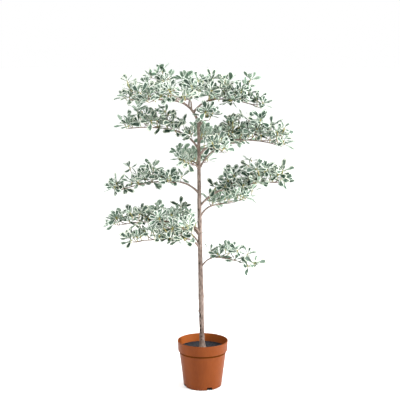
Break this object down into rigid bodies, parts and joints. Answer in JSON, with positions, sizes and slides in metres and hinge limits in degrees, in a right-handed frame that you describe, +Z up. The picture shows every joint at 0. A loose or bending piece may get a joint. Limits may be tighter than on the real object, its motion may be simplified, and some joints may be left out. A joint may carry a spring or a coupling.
{
  "type": "potted madagascar almond tree",
  "caption": "Slim single-stem tree with flat, layered, sparse boughs of small cream-edged leaves, standing in a round tapered plastic nursery pot filled with compost.",
  "frame": {"origin": "centre of the pot's flat underside", "axes": "+Z up along the trunk, +X to the right and -Y towards the front as the plant is shown"},
  "size_m": [0.9315, 0.7169, 1.6167],
  "materials": {
    "pot": "satin",
    "compost": "matte",
    "bark": "matte",
    "foliage": "satin"
  },
  "bodies": {
    "root": {"compost": "compost", "crown_back_bough": "bark", "crown_back_foliage": "foliage", "crown_front_bough": "bark", "crown_front_foliage": "foliage", "crown_front_left_bough": "bark", "crown_front_left_foliage": "foliage", "crown_left_bough": "bark", "crown_left_foliage": "foliage", "crown_right_bough": "bark", "crown_right_foliage": "foliage", "fork_front_bough": "bark", "fork_front_foliage": "foliage", "high_back_bough": "bark", "high_back_foliage": "foliage", "high_front_right_bough": "bark", "high_front_right_foliage": "foliage", "high_left_bough": "bark", "high_left_foliage": "foliage", "leader_bough": "bark", "leader_foliage": "foliage", "low_back_bough": "bark", "low_back_foliage": "foliage", "low_left_bough": "bark", "low_left_foliage": "foliage", "low_right_bough": "bark", "low_right_foliage": "foliage", "middle_back_left_bough": "bark", "middle_back_left_foliage": "foliage", "middle_back_right_bough": "bark", "middle_back_right_foliage": "foliage", "middle_front_bough": "bark", "middle_front_foliage": "foliage", "middle_low_left_bough": "bark", "middle_low_left_foliage": "foliage", "middle_right_bough": "bark", "middle_right_foliage": "foliage", "pot": "pot", "trunk": "bark", "upper_back_bough": "bark", "upper_back_foliage": "foliage", "upper_back_right_bough": "bark", "upper_back_right_foliage": "foliage", "upper_front_bough": "bark", "upper_front_foliage": "foliage", "upper_left_bough": "bark", "upper_left_foliage": "foliage", "upper_right_bough": "bark", "upper_right_foliage": "foliage"}
  },
  "joints": []
}
